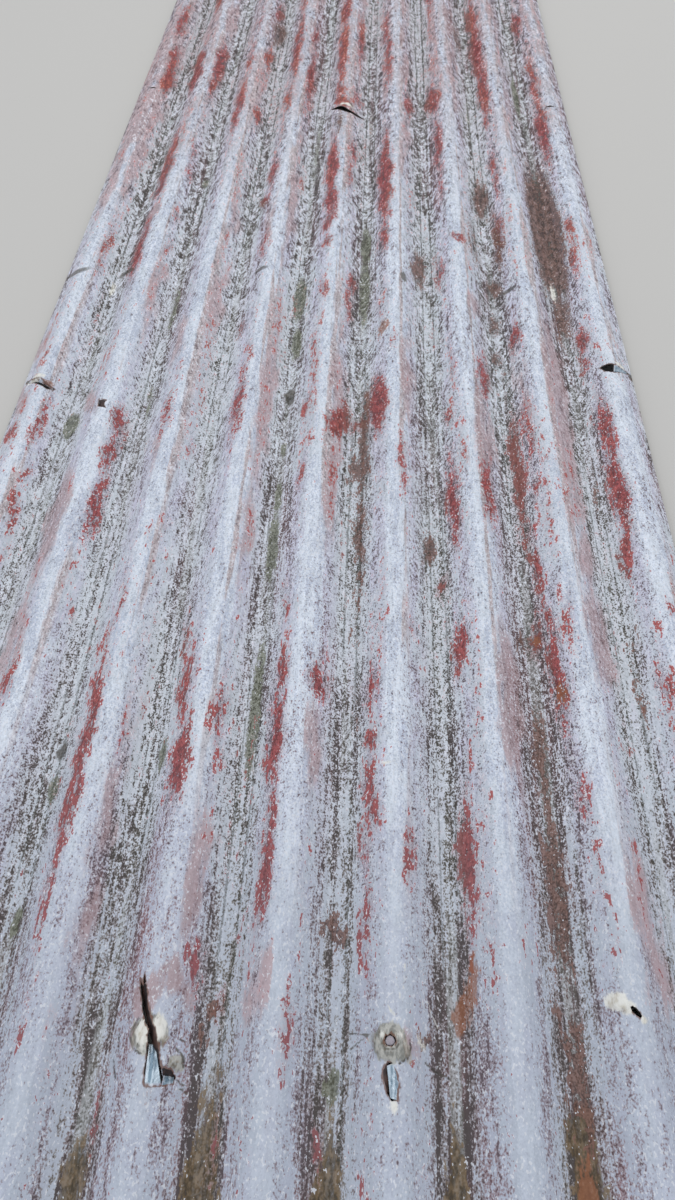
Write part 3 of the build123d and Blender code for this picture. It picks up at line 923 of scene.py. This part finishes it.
# Dark marks and scratches, also used for painted shade along short creases
DARK_TONES = (tone(58, 56, 50), tone(92, 86, 76))
TORN_RUST = tone(112, 74, 56)
STEEL_TONES = (tone(112, 136, 154), tone(200, 216, 228))
# Dark rust with painted shadow, for metal bent down deep into the tears
RUST_AND_SHADOW_TONES = (tone(36, 28, 30), tone(84, 62, 56))
# The underside, the cut edges, the nail and the floor
SPANGLE_TONES = (tone(128, 133, 139), tone(150, 155, 160))
BLOOM_TONE = tone(184, 188, 190)
STREAK_TONE = tone(104, 100, 96)
UNDERSIDE_RUST = tone(122, 80, 58)
CUT_TONES = (tone(150, 150, 150), tone(104, 72, 56))
NAIL_TONES = (tone(150, 142, 150), tone(186, 180, 188))
FLOOR_TONE = tone(206, 204, 200)

# Stations between which the finish changes from its look at the near end to its look farther along
NEAR_ZONE = (100.0, 420.0)
BRUSH_ZONE = (350.0, 850.0)
BROAD_ZONE = (500.0, 1500.0)
FAR_ZONE = (1000.0, 1650.0)

# How far the worn top of each crest is off its middle, the places of the dark tracks beside a valley's
# middle, and how far off that middle they are centred
CREST_SHIFT = 2.5
TRACK_PLACE = 5.5
TRACK_SHIFT = 1.5

# The noises of the weather side: the size of the grains in millimetres along X, Y and Z, the detail, the
# roughness and the shift
GRAIN = ((0.6, 0.8, 0.6), 1.5, 0.5, 0.0)
FLECK = ((1.15, 2.4, 1.15), 2.0, 0.55, 11.0)
BRUSH = ((0.95, 5.5, 1.0), 2.0, 0.55, 17.0)
BLOTCH = ((5.0, 19.0, 5.0), 3.0, 0.6, 23.0)
DRIFT = ((4.5, 44.0, 4.5), 3.0, 0.6, 29.0)
CLOUD = ((22.0, 110.0, 22.0), 2.0, 0.5, 37.0)
STREAK = ((1.2, 48.0, 1.2), 2.0, 0.5, 41.0)
BAND = ((4.0, 260.0, 4.0), 2.0, 0.5, 53.0)
CHIP = ((0.75, 1.2, 0.75), 1.0, 0.5, 61.0)
FLAKE = ((1.7, 12.0, 1.7), 3.0, 0.6, 71.0)
JAG = ((2.7, 6.0, 2.7), 2.0, 0.6, 83.0)


def weathered_finish():
    """The weather side: a chalky pale coat, flecked and worn through to red, brown and green."""
    f = Finish("weathered_zinc_face")
    grain, fleck, flake, chip = (f.noise(*facts) for facts in (GRAIN, FLECK, FLAKE, CHIP))
    blotch, drift, cloud, jag = (f.noise(*facts) for facts in (BLOTCH, DRIFT, CLOUD, JAG))
    streak, band = f.noise(*STREAK), f.noise(*BAND)
    station = f.y + HALF_LENGTH
    near = f.step(station, *NEAR_ZONE, 1.0, 0.0)
    far = f.step(station, *FAR_ZONE)
    along = f.x * (1 / PITCH)
    from_crest = (along - f.math("ROUND", along)) * PITCH
    from_valley = (f.math("FRACT", along) - 0.5) * PITCH
    off_crest = abs(from_crest - CREST_SHIFT)
    off_valley = abs(from_valley)

    # Strokes that slant down both flanks towards the valley, like the barbs of a feather
    slanted = off_valley - f.y * STROKE_LEAN
    stroke_place = f.combine(slanted, f.y, f.math("FLOOR", along) * 37.0)
    brush = f.noise(*BRUSH, stroke_place) * f.step(station, *BRUSH_ZONE, 0.2, 1.0)

    valley = f.step(off_valley - blotch * 2.0 - band * 2.5, 21.0, 9.0)
    coarse = f.step(station, 100.0, 1200.0, 0.1, 0.3)
    fine = f.step(station, 400.0, 1300.0, 0.75, 0.45)
    sparkle = grain * fine + fleck * 0.45 + brush * 0.5 + flake * coarse
    broad = f.step(station, *BROAD_ZONE)
    sparkle = sparkle + jag * broad * 0.5
    sparkle = sparkle * f.ease(near, 1.05, 0.62)

    # How much of the pale coat is left: nearly all on the crests, less on the flanks and in the valleys
    rough_edge = off_crest + blotch * 3.0 + drift * 3.6 + cloud * 4.0 + brush * 1.5
    rough_edge = rough_edge + near * 1.5 + far * 3.0
    on_crest = f.step(rough_edge, 3.0, 16.5, 1.0, 0.0)
    kept = on_crest * f.ease(near, 0.46, 0.38) - near * 0.12 - far * 0.16
    kept = kept + valley * (f.step(station, *BRUSH_ZONE, -0.24, -0.32) + far * 0.22) + 0.04
    kept = kept + blotch * 0.3 + cloud * 0.34 + drift * 0.36 + jag * 0.16
    kept = kept + streak * f.ease(valley, 0.2, 0.42) + band * valley * 0.36
    sheltered = f.step(station, 250.0, 500.0) * f.step(station, 1250.0, 900.0)
    sheltered = sheltered * f.step(f.x, 100.0, -60.0, 0.0, 0.17)
    kept = kept + sheltered
    whole = f.step(f.attribute("whole") + blotch * 2.0 + flake * 2.0, -1.0, 5.0)
    speckle = sparkle + kept + whole * 0.4 + 0.2

    # The coat's own tones, from bare dark metal through mauve to chalk white
    green_tint = f.step(cloud * 0.7 + band * 0.6, -0.5, 0.7) * valley
    rosy = f.step(cloud * -0.7 + drift * 0.7 + far * 0.2, 0.0, 1.0)
    rosy = rosy * f.step(valley, 0.1, 0.9, 1.0, 0.5)
    lower = []
    for (on_flanks, in_valleys, greenish, reddish), share in ((GRIME_TONES, 0.8), (MAUVE_TONES, 0.7)):
        layer = f.mix(green_tint * 0.7, f.mix(valley, on_flanks, in_valleys), greenish)
        lower.append(f.mix(rosy * share, layer, reddish))
    grime, mauve = lower
    pale = f.between(cloud + blotch, -0.7, 0.7, PALE_TONES)
    pale = f.mix(valley * 0.5, pale, PALE_IN_VALLEYS)
    pale = f.mix(near * 0.7, pale, PALE_NEAR)
    bright = f.step(on_crest + sparkle * 0.45, 0.35, 0.65) * f.ease(near, 0.9, 0.2)
    chalk = f.between(drift + blotch + grain * 0.8 + fleck * 0.4, -0.8, 0.6, CHALK_TONES)
    pale = f.mix(bright, pale, chalk)
    colour = f.mix(f.step(speckle, -0.44, -0.26), grime, mauve)
    colour = f.mix(f.step(speckle, -0.13, 0.07), colour, pale)

    # Rosy dust that dulls the far end
    dusty = f.step(drift * 0.7 + blotch * 0.6 + cloud * 0.6 + jag * 0.4, -0.9, 0.7)
    dusty = dusty * f.step(valley - on_crest * 0.6, -0.6, 1.0, 0.74, 0.3)
    colour = f.mix(dusty * far, colour, FAR_DUST)

    # Thin tan film beside the crests' right sides, with a clean edge to the ridge
    film_edge = from_crest + fleck * 0.9 + blotch * 1.4
    film = f.step(film_edge, 4.8, 6.2) * f.step(from_crest + fleck * 1.4 + drift * 3.0, 11.0, 17.0, 1.0, 0.0)
    film = film * f.step(band * 0.9 + cloud * 0.8 + drift * 0.5, -0.05, 0.3)
    film_tone = f.between(flake + cloud * 0.6, -0.6, 0.6, FILM_TONES)
    film_tone = f.mix(f.step(sparkle, -0.3, -0.55), film_tone, FILM_PIT)
    film = film * f.step(station, 150.0, 500.0, 0.0, 0.8)
    colour = f.mix(film, colour, film_tone)

    # Rosy film on the flanks
    ridge = f.step(off_crest + fleck * 0.8, 5.5, 4.0)
    pink_field = f.least(f.attribute("pink") * 0.5, 4.0)
    pink_field = f.least(pink_field + ridge * f.ease(far, -3.0, -1.0), 2.0)
    everywhere = far * 4.4 - on_crest * 2.5 - valley * 5.0 - 4.4
    pink_field = f.most(pink_field, everywhere)
    pink_edge = pink_field + sparkle * 2.0 + drift * 2.4 + blotch * 2.0
    pink = f.step(pink_edge, -1.4, 1.8) * 0.8
    pink_tone = f.between(cloud + blotch, -1.0, 1.0, PINK_TONES)
    pink_tone = f.mix(f.step(sparkle, 0.35, 0.7), pink_tone, PINK_FLECK)
    pink_tone = f.mix(f.step(sparkle, -0.45, -0.8), pink_tone, PINK_PIT)
    colour = f.mix(pink, colour, pink_tone)

    # Two dark tracks along each valley and the clean or green strip between them
    bent = from_valley + band * 1.6 - TRACK_SHIFT
    track = abs(abs(bent) - TRACK_PLACE)
    track = f.step(track + fleck * 0.6 + grain * 0.6, 0.5, 1.2, 1.0, 0.0)
    track = track * f.step(drift + cloud + far * 0.5, -0.45, 0.4)
    colour = f.mix(track * f.step(station, 300.0, 1300.0, 0.55, 0.85), colour, TRACK_TONE)
    strip = f.step(abs(bent) + fleck * 0.9 + grain * 0.8, 3.4, 4.6, 1.0, 0.0)
    strip = strip * f.step(cloud * -1.0 - drift * 0.5 + band * 0.3, -0.1, 0.3)
    strip_tone = f.between(sparkle + flake * 0.5, -0.5, 0.1, STRIP_TONES)
    colour = f.mix(strip * 0.55, colour, strip_tone)

    # Places worn through to the bare red, brown or green, with flecks about their edges
    ragged = grain * 1.2 + fleck * 2.4 + flake * 2.2 + jag * 3.4
    ragged = ragged + blotch * 2.2 + drift * 2.0 + brush * 2.6
    left_flank = f.step(from_crest, -28.0, -13.0) * f.step(from_crest, -8.0, 1.0, 1.0, 0.0)
    right_flank = f.step(from_crest, 28.0, 17.0) * f.step(from_crest, 15.0, 6.0, 1.0, 0.0)
    scattered = cloud * 3.4 + left_flank * 2.0 + right_flank * 1.3 + far * 0.2
    scattered = f.least(scattered - near * 0.8 - 5.2, 0.6)
    fields = {name: f.least(f.attribute(name) * 0.7, 3.3) for name in ("green", "olive", "red", "brown")}
    green = f.step(fields["green"] + ragged * 0.3, -0.2, 0.6)
    green_tone = f.between(sparkle + jag * 0.3, -0.4, 0.35, GREEN_TONES)
    colour = f.mix(green * 0.88, colour, green_tone)
    olive = f.step(fields["olive"] + ragged * 0.7, -0.9, 0.6)
    olive_tone = f.between(fleck + jag, -0.9, 0.9, OLIVE_TONES)
    colour = f.mix(olive * 0.9, colour, olive_tone)
    red_field = f.most(fields["red"], scattered)
    blush = f.step(red_field + ragged * 0.6 + sparkle * 1.2, -2.6, -0.4)
    blush_tone = f.between(sparkle, -0.4, 0.3, BLUSH_TONES)
    colour = f.mix(blush * 0.4, colour, blush_tone)
    red = f.step(red_field + ragged, -0.1, 0.5)
    red_tone = f.between(jag + fleck + grain * 0.6, -0.8, 0.8, RED_TONES)
    rusty = f.step(cloud * 0.6 + drift * 0.6, -0.3, 0.6) * f.step(station, 300.0, 1500.0, 0.2, 0.9)
    red_tone = f.mix(rusty, red_tone, f.between(jag + fleck, -0.8, 0.8, RUSTY_TONES))
    red_tone = f.mix(f.step(valley, 0.2, 1.0) * 0.8, red_tone, RED_IN_VALLEYS)
    red_tone = f.mix(near * 0.6, red_tone, RED_NEAR)
    colour = f.mix(red * 0.92, colour, red_tone)
    brown = f.step(fields["brown"] + ragged, -0.1, 0.5)
    brown_tone = f.between(jag + grain, -0.8, 0.8, BROWN_TONES)
    colour = f.mix(brown * 0.9, colour, brown_tone)
    orange = f.step(f.attribute("orange") + ragged * 0.5, -0.5, 1.5)
    colour = f.mix(orange * 0.75, colour, ORANGE_TONE)

    # Chips of the pale coat left on everything
    worn_deep = f.most(f.most(fields["red"], fields["brown"]), f.most(fields["green"], fields["olive"]))
    hold = chip * f.ease(broad, 0.85, 0.6) + fleck * 0.35 + brush * 0.45
    hold = hold + jag * broad * 0.5 + on_crest * 0.1 - valley * 0.1
    hold = hold - f.most(worn_deep, 0.0) * 0.09 - near * 0.08
    hold = hold - f.most(pink_field, 0.0) * 0.06
    chips = f.step(hold, 0.38, 0.54)
    colour = f.mix(chips * 0.85, colour, CHIP_TONE)

    # Fine light and shade of the chalky, pitted coat
    depth = f.ease(on_crest, 1.0, 0.85)
    pits = grain * 0.12 + fleck * 0.14 + flake * 0.14 + brush * 0.16
    pits = pits + jag * f.ease(broad, 0.08, 0.24)
    pits = pits * f.ease(near, 1.2, 0.55)
    light = f.most(pits * depth + 1.02, 0.35)
    colour = f.vector("MULTIPLY", colour, f.combine(light, light, light))

    # Marks of their own, with painted highlights on the burr round the cut nail and painted shade along
    # short creases
    moss = f.step(f.attribute("moss") + ragged * 0.5, -0.6, 1.6)
    moss_tone = f.between(fleck + jag * 1.5, -0.8, 0.8, MOSS_TONES)
    colour = f.mix(moss * 0.75, colour, moss_tone)
    # Cream marks, and painted highlights on the burr round the cut nail
    cream = f.step(f.attribute("cream") * 0.7 + ragged * 0.25, -0.5, 1.5)
    cream_tone = f.between(fleck * 0.5 + jag, -1.0, 0.3, CREAM_TONES)
    colour = f.mix(cream * 0.94, colour, cream_tone)
    stroke = f.step(f.attribute("stroke") + fleck * 0.5, -0.2, 0.6)
    colour = f.mix(stroke * 0.8, colour, STROKE_TONE)
    dark_tone = f.between(jag, -0.6, 0.6, DARK_TONES)
    dark = f.step(f.attribute("dark") + ragged * 0.4, -0.5, 1.0)
    scratch = f.step(f.attribute("scratch") + fleck * 0.3, -0.1, 0.6)
    # Painted shade along the short creases, in the same dark tones as the scratches
    for crease in CREASE_SHADES:
        scratch = f.most(scratch, f.crease(station, *crease) * f.step(fleck, -0.6, 0.2, 0.7, 1.0))
    colour = f.mix(f.most(dark, scratch) * 0.85, colour, dark_tone)

    # Torn edges, and metal bent down into the tears: bare steel, or dark rust with painted shadow
    rust = f.step(f.attribute("edge") + fleck * 0.8 + jag * 0.9, 0.1, 1.1, 0.85, 0.0)
    colour = f.mix(rust, colour, TORN_RUST)
    steel_tone = f.between(streak + fleck * 0.5, -0.8, 0.8, STEEL_TONES)
    bare = f.attribute("bare")
    steel = f.step(bare + fleck * 0.12, 0.3, 0.6)
    colour = f.mix(steel, colour, steel_tone)
    # Painted shadow, with dark rust, on metal bent down deep into a tear or hole
    rust_and_shadow = f.step(bare + fleck * 0.08, -0.08, -0.4)
    colour = f.mix(rust_and_shadow, colour, f.between(jag, -0.6, 0.6, RUST_AND_SHADOW_TONES))
    f.put(f.shader, "Base Color", colour)

    exposed = f.most(f.most(red, brown), f.step(speckle, 0.0, -0.4))
    rough = f.ease(exposed, 0.56, 0.86)
    rough = rough - on_crest * 0.06 - steel * 0.3 + fleck * 0.05
    f.put(f.shader, "Roughness", rough)
    f.put(f.shader, "Metallic", steel * 0.3)
    f.bump(grain * 0.45 + fleck * 0.75, 0.14)
    return f.material


def underside_finish():
    """The underside: old galvanising, dull grey with a soft spangle, white bloom and a little rust."""
    f = Finish("weathered_zinc_underside")
    cells = f.tree.nodes.new("ShaderNodeTexVoronoi")
    f.put(cells, "Vector", f.vector("DIVIDE", f.place, (9.0, 12.0, 9.0)))
    cells.inputs["Scale"].default_value = 1.0
    spangle = f.tree.nodes.new("ShaderNodeSeparateColor")
    f.put(spangle, "Color", cells.outputs["Color"])
    fleck = f.noise((3.0, 5.0, 3.0), 3.0, 0.6, 5.0)
    bloom = f.noise((26.0, 70.0, 26.0), 4.0, 0.6, 9.0)
    streak = f.noise((5.0, 160.0, 5.0), 2.0, 0.5, 15.0)
    colour = f.mix(spangle.outputs[0], *SPANGLE_TONES)
    colour = f.mix(f.step(bloom + fleck * 0.4, 0.1, 1.1), colour, BLOOM_TONE)
    colour = f.mix(f.step(streak - bloom * 0.8, 0.3, 1.3) * 0.5, colour, STREAK_TONE)
    rust = f.step(bloom * -1.0 + fleck * 0.8 + streak * 0.5, 1.15, 1.6)
    near_cut = f.step(f.attribute("edge") + fleck * 1.5, 0.5, 5.0, 0.9, 0.0)
    rust = f.most(rust, near_cut)
    f.put(f.shader, "Base Color", f.mix(rust, colour, UNDERSIDE_RUST))
    f.put(f.shader, "Roughness", f.step(bloom + rust, -0.8, 1.2, 0.42, 0.75))
    f.put(f.shader, "Metallic", f.step(bloom + rust, -0.5, 0.9, 0.75, 0.1))
    f.bump(fleck * 0.4 + bloom * 0.3 + rust * 0.6, 0.1)
    return f.material


def cut_edge_finish():
    """The thin cut and torn edges: dull steel with rust."""
    f = Finish("weathered_zinc_cut_edge")
    fleck = f.noise((2.5, 2.5, 2.5), 3.0, 0.6, 3.0)
    blotch = f.noise((14.0, 14.0, 14.0), 2.0, 0.5, 7.0)
    rust = f.step(fleck + blotch, -0.6, 0.8)
    f.put(f.shader, "Base Color", f.mix(rust, *CUT_TONES))
    f.put(f.shader, "Roughness", f.ease(rust, 0.5, 0.85))
    f.put(f.shader, "Metallic", f.ease(rust, 0.7, 0.0))
    f.bump(fleck, 0.1)
    return f.material


def add_object(name, data):
    """A new object in the scene, with this name and data."""
    made = bpy.data.objects.new(name, data)
    bpy.context.scene.collection.objects.link(made)
    return made


def make_sheet():
    """The sheet as one mesh of its real thickness, in place of the plain solid."""
    positions, faces, flat, bare, edge_loops = build_sheet()
    mesh = bpy.data.meshes.new("middle_surface")
    mesh.from_pydata((positions * MM).tolist(), [], faces)
    for name, values in sheet_attributes(flat, bare, edge_loops).items():
        attribute = mesh.attributes.new(name, "FLOAT", "POINT")
        attribute.data.foreach_set("value", np.asarray(values, np.float32))
    for finish in (weathered_finish(), underside_finish(), cut_edge_finish()):
        mesh.materials.append(finish)
    body = add_object("middle_surface", mesh)
    thicken = body.modifiers.new("thickness", "SOLIDIFY")
    thicken.thickness = THICKNESS * MM
    thicken.offset = 0
    thicken.use_rim = True
    thicken.material_offset = 1
    thicken.material_offset_rim = 2
    graph = bpy.context.evaluated_depsgraph_get()
    solid = bpy.data.meshes.new_from_object(body.evaluated_get(graph))
    solid.name = "corrugated_roofing_sheet"
    solid.shade_smooth()
    solid.set_sharp_from_angle(angle=SHARP_FROM)
    sheet = add_object("corrugated_roofing_sheet", solid)
    bpy.data.objects.remove(body)
    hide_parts("corrugated_sheet")
    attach(sheet, "root")


def stub_finish():
    """The cut end of an old nail: dull light grey."""
    f = Finish("old_nail")
    grain = f.noise((0.6, 0.6, 0.6), 2.0, 0.6)
    f.put(f.shader, "Base Color", f.between(grain, -1.0, 1.0, NAIL_TONES))
    f.put(f.shader, "Roughness", f.step(grain, -1.0, 1.0, 0.5, 0.7))
    f.put(f.shader, "Metallic", 0.4)
    f.bump(grain, 0.08)
    return f.material


# The cut nail's outline from its middle, as radius and height below its top, and the points round it
NAIL_OUTLINE = [
    (0.0, 0.0), (2.1, 0.05), (2.8, -0.25), (3.05, -0.75), (2.7, -1.2), (2.4, -2.0), (2.4, -9.0),
    (0.0, -10.0),
]
NAIL_TURNS = 24
NAIL_PROUD = 0.2
NAIL_WOBBLE = 0.05


def make_nail_stub():
    """The cut nail that is still in the near row's middle hole, with its edge burred over."""
    x, station = NAIL_STUB_AT
    top = float(surface(np.array([x]), np.array([station]))[0, 2]) + NAIL_PROUD
    points, faces = [], []
    for radius, z in NAIL_OUTLINE:
        for k in range(NAIL_TURNS):
            turn = 2 * math.pi * k / NAIL_TURNS
            wobble = 1 + NAIL_WOBBLE * math.sin(3 * turn + radius)
            across = x + radius * wobble * math.cos(turn)
            along = station - HALF_LENGTH + radius * wobble * math.sin(turn)
            points.append((across * MM, along * MM, (top + z) * MM))
    for ring in range(len(NAIL_OUTLINE) - 1):
        for k in range(NAIL_TURNS):
            a, b = ring * NAIL_TURNS + k, ring * NAIL_TURNS + (k + 1) % NAIL_TURNS
            faces.append((a, a + NAIL_TURNS, b + NAIL_TURNS, b))
    mesh = bpy.data.meshes.new("nail_stub")
    mesh.from_pydata(points, [], faces)
    mesh.materials.append(stub_finish())
    mesh.shade_smooth()
    stub = add_object("nail_stub", mesh)
    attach(stub, "root")


# The camera: where it stood and how it was turned, from the valleys and nail rows in the photograph
CAMERA_X = 67.5
CAMERA_STATION = 0.0
CAMERA_HEIGHT = 628.3
CAMERA_DOWN = math.radians(51.94)
CAMERA_LEFT = math.radians(4.74)
CAMERA_ROLL = math.radians(3.03)
CAMERA_LENS = 27.0
CAMERA_SENSOR = 36.0


def place_camera():
    """The photograph's own view, from above the near end, looking down along the sheet."""
    data = bpy.data.cameras.new("camera")
    data.lens = CAMERA_LENS
    data.sensor_width = CAMERA_SENSOR
    data.clip_start = 0.02
    camera = add_object("camera", data)
    yaw = -CAMERA_LEFT
    ahead = math.cos(CAMERA_DOWN)
    forward = Vector((math.sin(yaw) * ahead, math.cos(yaw) * ahead, -math.sin(CAMERA_DOWN)))
    level = Vector((math.cos(yaw), -math.sin(yaw), 0))
    down = forward.cross(level)
    right = math.cos(CAMERA_ROLL) * level + math.sin(CAMERA_ROLL) * down
    low = -math.sin(CAMERA_ROLL) * level + math.cos(CAMERA_ROLL) * down
    turned = Matrix((right, -low, -forward)).transposed().to_4x4()
    place = Vector((CAMERA_X, CAMERA_STATION - HALF_LENGTH, CAMERA_HEIGHT)) * MM
    camera.matrix_world = Matrix.Translation(place) @ turned
    bpy.context.scene.camera = camera


def make_floor():
    """A plain pale floor."""
    half = 6.0
    corners = [(-half, -half, 0), (half, -half, 0), (half, half, 0), (-half, half, 0)]
    mesh = bpy.data.meshes.new("floor")
    mesh.from_pydata(corners, [], [(0, 1, 2, 3)])
    material = bpy.data.materials.new("floor")
    material.use_nodes = True
    shader = material.node_tree.nodes["Principled BSDF"]
    shader.inputs["Base Color"].default_value = FLOOR_TONE
    shader.inputs["Roughness"].default_value = 0.9
    mesh.materials.append(material)
    add_object("floor", mesh)


# The light of the pale sky, and two soft lamps turned to the sheet's middle, in metres and watts: name,
# place, size, power and colour
SKY_COLOUR = (0.92, 0.95, 1.0, 1.0)
SKY_STRENGTH = 0.64
LAMPS = [
    ("overhead", (0.6, 1.2, 3.4), 3.5, 46, (1.0, 0.99, 0.97)),
    ("side", (-3.0, -1.0, 2.4), 2.5, 12, (0.94, 0.97, 1.0)),
]


def light_scene():
    """Soft studio light, brightest from above the far end, as under a pale sky."""
    world = bpy.data.worlds.new("world")
    world.use_nodes = True
    background = world.node_tree.nodes["Background"]
    background.inputs["Color"].default_value = SKY_COLOUR
    background.inputs["Strength"].default_value = SKY_STRENGTH
    bpy.context.scene.world = world
    for name, place, size, power, colour in LAMPS:
        data = bpy.data.lights.new(name, "AREA")
        data.shape = "SQUARE"
        data.size = size
        data.energy = power
        data.color = colour
        aim = (-Vector(place)).to_track_quat("-Z", "Y")
        add_object(name, data).matrix_world = Matrix.Translation(place) @ aim.to_matrix().to_4x4()


bpy.context.scene.view_settings.view_transform = "Standard"
place_camera()
make_floor()
light_scene()
make_sheet()
make_nail_stub()
